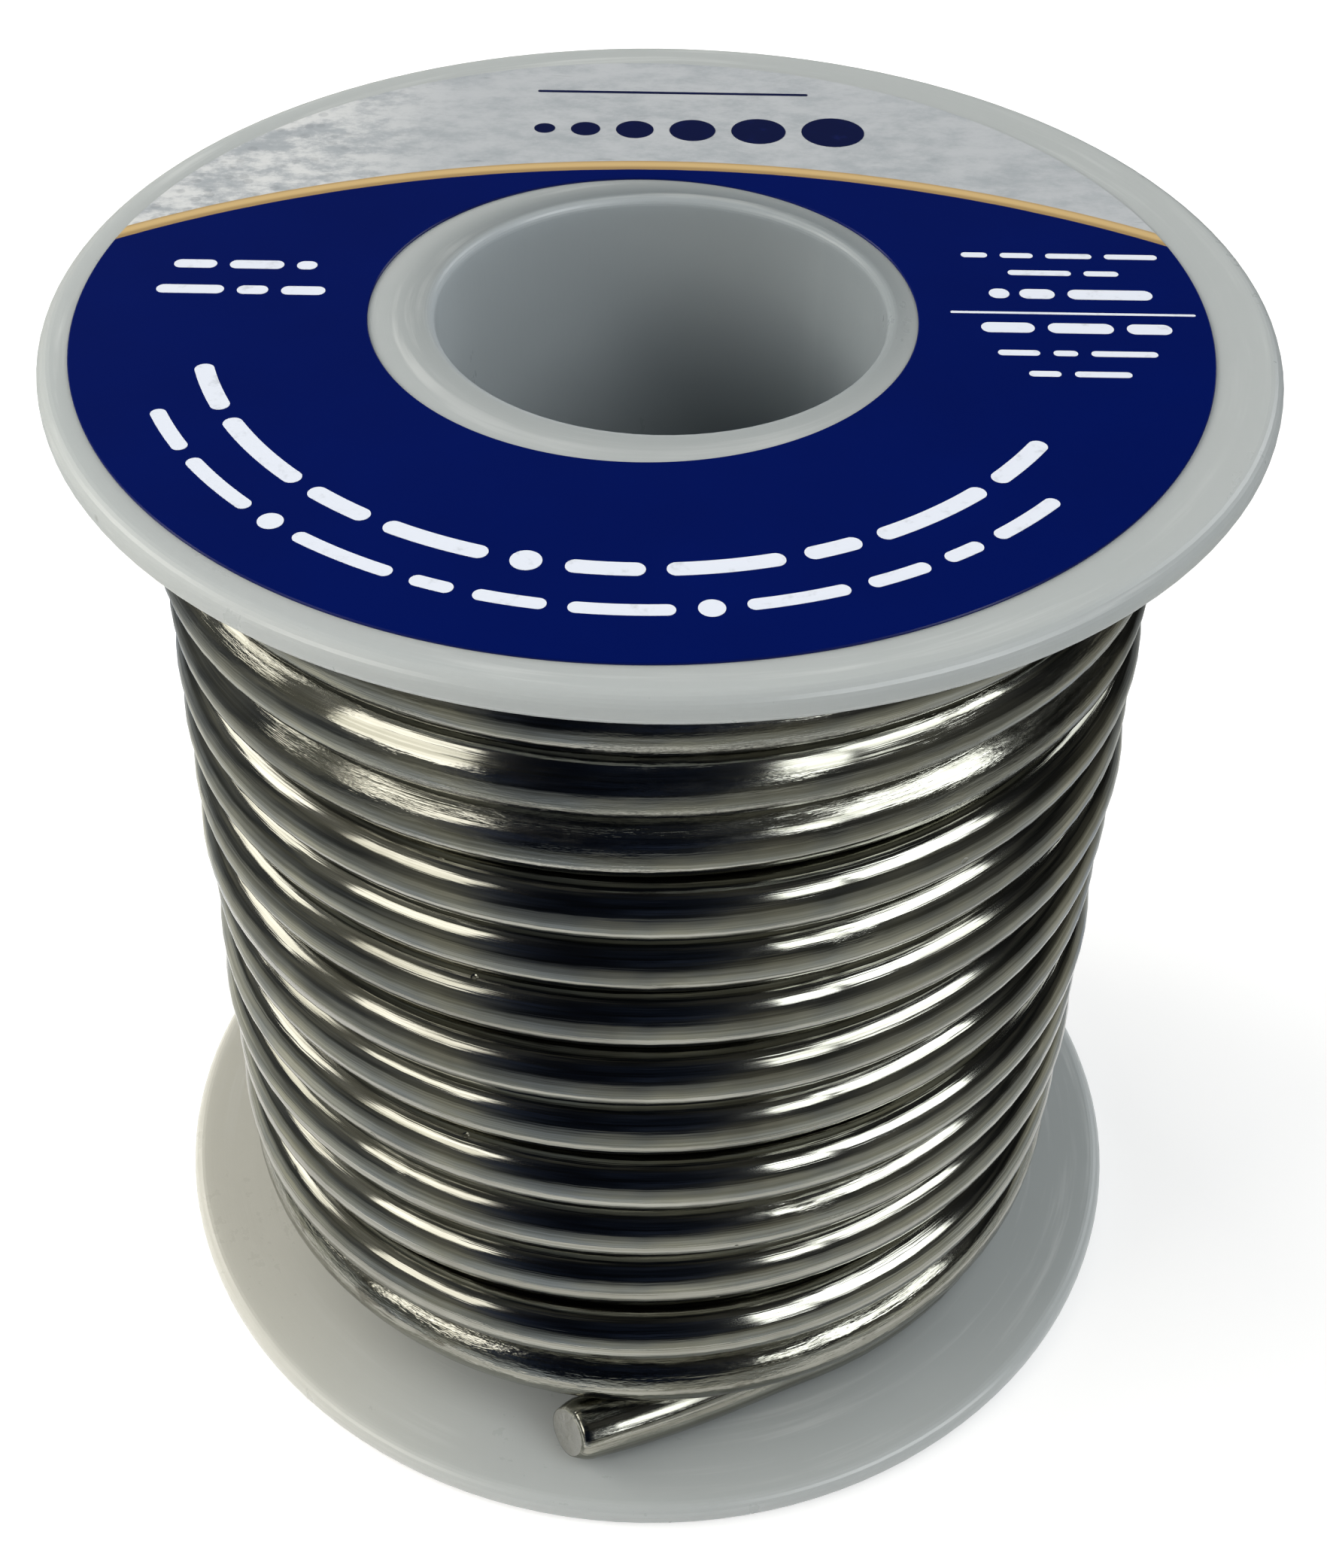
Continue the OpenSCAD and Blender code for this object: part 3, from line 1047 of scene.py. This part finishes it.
def hang_lamps(stage):
    """Rectangular lamps round the spool: windows that the metal mirrors, and soft lamps for the rest."""
    # Name, azimuth and elevation in degrees, distance, width and height in metres, and radiance
    lamps = (
        ("right_window", 59, 35, 0.60, 0.32, 0.25, 5.2),
        ("small_right_window", 32, 29, 0.60, 0.12, 0.20, 5.2),
        ("left_window", -56, 32, 0.60, 0.28, 0.19, 3.2),
        ("far_left_window", -108, 32, 0.65, 0.40, 0.18, 3.4),
        ("back_right_window", 128, 34, 0.65, 0.30, 0.30, 2.5),
        ("soft_left", -85, 30, 0.60, 0.70, 0.28, 5.0),
        ("soft_front_left", -45, 32, 0.60, 0.30, 0.30, 1.3),
        ("soft_back_left", -125, 32, 0.65, 0.40, 0.30, 3.3),
        ("soft_right", 60, 38, 0.60, 0.30, 0.30, 3.1),
        ("soft_back_right", 128, 34, 0.65, 0.30, 0.30, 3.0),
        ("soft_top", 88, 57, 0.70, 0.50, 0.46, 0.8),
    )
    aim = Vector((0, 0, SPOOL_HEIGHT / 2))
    for name, azimuth, elevation, distance, width, height, radiance in lamps:
        lamp = bpy.data.lights.new(name, "AREA")
        lamp.shape = "RECTANGLE"
        lamp.size, lamp.size_y = width, height
        lamp.energy = stage.lamps * radiance * math.pi * width * height
        lamp.color = stage.warm_light if azimuth < 0 else stage.cool_light
        away = from_front(azimuth, elevation)
        thing = bpy.data.objects.new(name, lamp)
        thing.location = aim + away * distance
        thing.rotation_euler = away.to_track_quat("Z", "Y").to_euler()
        mirrored = name.endswith("window")
        thing.visible_camera = False
        thing.visible_glossy = mirrored
        thing.visible_diffuse = not mirrored
        bpy.context.scene.collection.objects.link(thing)


def stand_dark_tent():
    """A dark tent round the spool, open below it, which shows only in mirrors and casts no shadow."""
    finish = new_finish("dark_tent")
    place = finish.place()
    way = finish.add("ShaderNodeVectorMath", {"operation": "NORMALIZE"}, {0: place})
    folds = finish.noise(finish.stretch(way, (1, 1, 2.5)), 2.2, 3, 0.55).ramp(0.3, 0.7)
    left = finish.facing(way, -95, 12).ramp(0.2, 0.9)
    right = finish.facing(way, 42, 25).ramp(0.7, 0.97)
    front = finish.facing(way, -12, 30).ramp(0.8, 0.97)
    x, y = finish.parts(place)[:2]
    away = (x * x + y * y).root()
    near = away.ramp(0.18, 0.05)

    # Its foot is as bright as a pale floor, and its walls are a dim room, brightest on the left
    foot = near * (folds * 0.12 + 0.26) + away.ramp(0.075, 0.04) * 0.32
    walls = (left * 0.15 + right * 0.06) * (folds * 1.1 + 0.3) * (1 - front * 0.7)
    grey = walls + foot + folds * folds * 0.06 + 0.008

    # Cool and warm folds, and a blue wall in front
    cloth = finish.blend(folds, (0.80, 0.88, 1.0), (1.0, 0.98, 0.84))
    cloth = finish.blend(front * near.ramp(0.5, 0), cloth, (0.35, 0.5, 1.0))
    glow = finish.glow(finish.stretch(cloth, grey))
    finish.add("ShaderNodeOutputMaterial", sockets={"Surface": glow})

    # A low skirt from beside the spool outwards, and a dome over it: radius and height in metres
    skirt = [(0.036, 0.0005), (0.6, 0.1), (1.2, 0.2)]
    reach, base, rise = 1.2, 0.2, 1.1
    steps = np.linspace(0.15, math.pi / 2 - 0.02, 12)
    dome = [(reach * math.cos(e), base + rise * math.sin(e)) for e in steps]
    points, faces = lathe(skirt + dome, 72)
    tent = stage_mesh("dark_tent", points, faces, finish.owner)
    tent.visible_camera = False
    tent.visible_diffuse = False
    tent.visible_transmission = False
    tent.visible_shadow = False


def paint_backdrop(scene, stage):
    """A world that looks white, and lights the spool a little from all round."""
    world = bpy.data.worlds.new("backdrop")
    scene.world = world
    sky = Shading(world)
    strength = shown_rays(sky).ramp(0, 1, stage.fill, 1.0)
    glow = sky.add("ShaderNodeBackground", sockets={"Color": opaque(WHITE), "Strength": strength})
    sky.add("ShaderNodeOutputWorld", sockets={"Surface": glow})


class VIEW3D_PT_solder_spool(bpy.types.Panel):
    """Lists the steps that make the spool"""

    bl_label = "Solder Spool"
    bl_space_type = "VIEW_3D"
    bl_region_type = "UI"
    bl_category = "Solder Spool"

    def draw(self, context):
        settings = context.scene.solder_spool
        for group in (settings.moulding, settings.wire, settings.label, settings.stage):
            box = self.layout.box()
            for name in group.__annotations__:
                box.prop(group, name)
        for operator in OPERATORS:
            self.layout.operator(operator.bl_idname)


OPERATORS = (
    SPOOL_OT_finish_mouldings,
    SPOOL_OT_wind_wire,
    SPOOL_OT_stick_label,
    SPOOL_OT_print_marks,
    SPOOL_OT_set_stage,
)
CLASSES = (
    SpoolMouldingSettings,
    SolderWireSettings,
    RingLabelSettings,
    SpoolStageSettings,
    SolderSpoolSettings,
    *OPERATORS,
    VIEW3D_PT_solder_spool,
)


def register():
    for cls in CLASSES:
        bpy.utils.register_class(cls)
    bpy.types.Scene.solder_spool = PointerProperty(type=SolderSpoolSettings)


def unregister():
    del bpy.types.Scene.solder_spool
    for cls in reversed(CLASSES):
        bpy.utils.unregister_class(cls)


def main():
    register()
    bpy.ops.solder_spool.finish_mouldings()
    bpy.ops.solder_spool.wind_wire()
    bpy.ops.solder_spool.stick_label()
    bpy.ops.solder_spool.print_marks()
    bpy.ops.solder_spool.set_stage()


if __name__ == "__main__":
    main()
